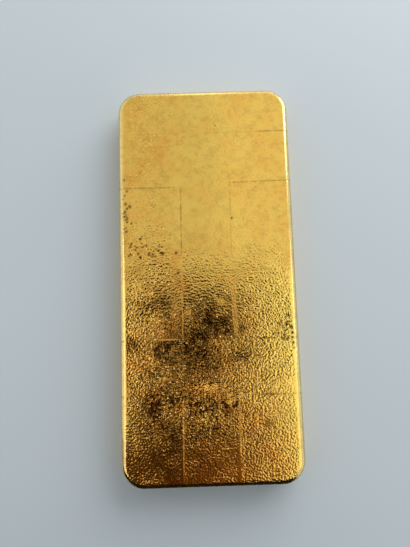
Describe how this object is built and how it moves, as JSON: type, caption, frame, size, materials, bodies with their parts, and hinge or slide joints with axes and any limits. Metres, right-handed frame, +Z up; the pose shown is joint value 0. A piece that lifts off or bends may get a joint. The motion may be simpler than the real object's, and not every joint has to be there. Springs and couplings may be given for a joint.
{
  "type": "gold ingot",
  "caption": "Cast gold bar with rounded corners and edges, leaning walls, a pebbled mould face on top and a slightly hollowed poured face underneath.",
  "frame": {"origin": "middle of the footprint, on the surface that the bar lies on", "axes": "+Y along the bar's length, +X along its width, +Z up out of the mould face"},
  "size_m": [0.053, 0.1174, 0.0088],
  "materials": {
    "gold": "satin"
  },
  "bodies": {
    "root": {"ingot": "gold"}
  },
  "joints": []
}
